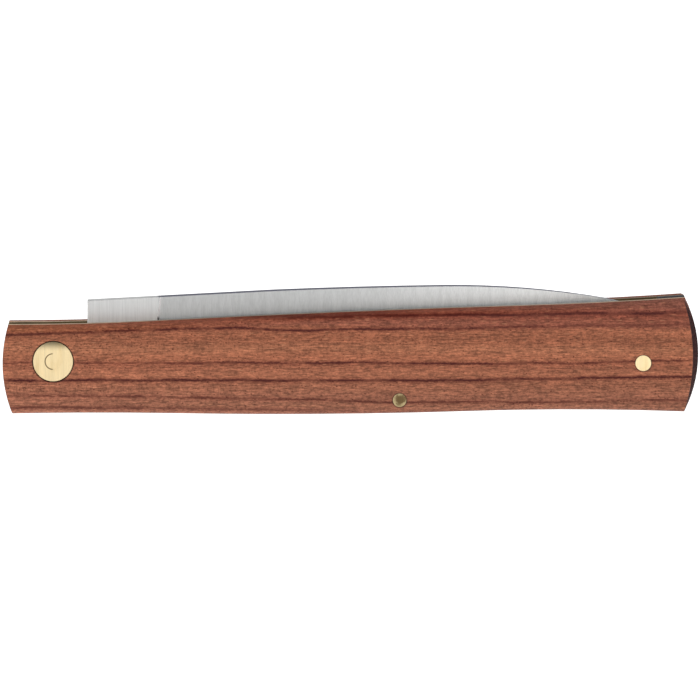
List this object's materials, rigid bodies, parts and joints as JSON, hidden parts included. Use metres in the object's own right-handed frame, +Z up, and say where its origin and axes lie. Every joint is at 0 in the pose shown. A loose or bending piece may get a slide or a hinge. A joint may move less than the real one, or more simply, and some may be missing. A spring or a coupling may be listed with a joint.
{
  "type": "grafting knife",
  "caption": "Folding grafting knife with a straight single-bevel blade, a slip-joint backspring, brass liners and wooden handle scales.",
  "frame": {"origin": "centre of the closed knife's bounding box, midway between the two outer handle faces", "axes": "+X along the handle towards the butt, +Z up towards the side the blade folds into, -Y towards the front handle face"},
  "size_m": [0.1104, 0.0124, 0.02],
  "materials": {
    "wood": "oiled red-brown tropical hardwood with dark lengthwise grain, satin",
    "liner_brass": "rolled brass sheet, edges filed flush, slightly dull",
    "blade_steel": "satin ground across the blade",
    "spring_steel": "filed and lightly polished spring steel",
    "pin_brass": "filed flush and brushed"
  },
  "bodies": {
    "handle": {"front_scale": "wood", "rear_scale": "wood", "front_liner": "liner_brass", "rear_liner": "liner_brass", "backspring": "spring_steel", "pivot_pin": "pin_brass", "front_pivot_washer": "pin_brass", "rear_pivot_washer": "pin_brass", "spring_pin": "pin_brass", "end_pin": "pin_brass"},
    "blade": {"blade": "blade_steel"}
  },
  "joints": [
    {"name": "blade_pivot", "type": "hinge", "parent": "handle", "child": "blade", "pos_m": [-0.0472, 0, -0.00136], "axis": [0, -1, 0], "range_deg": [0, 180], "deforming": ["backspring"]}
  ]
}
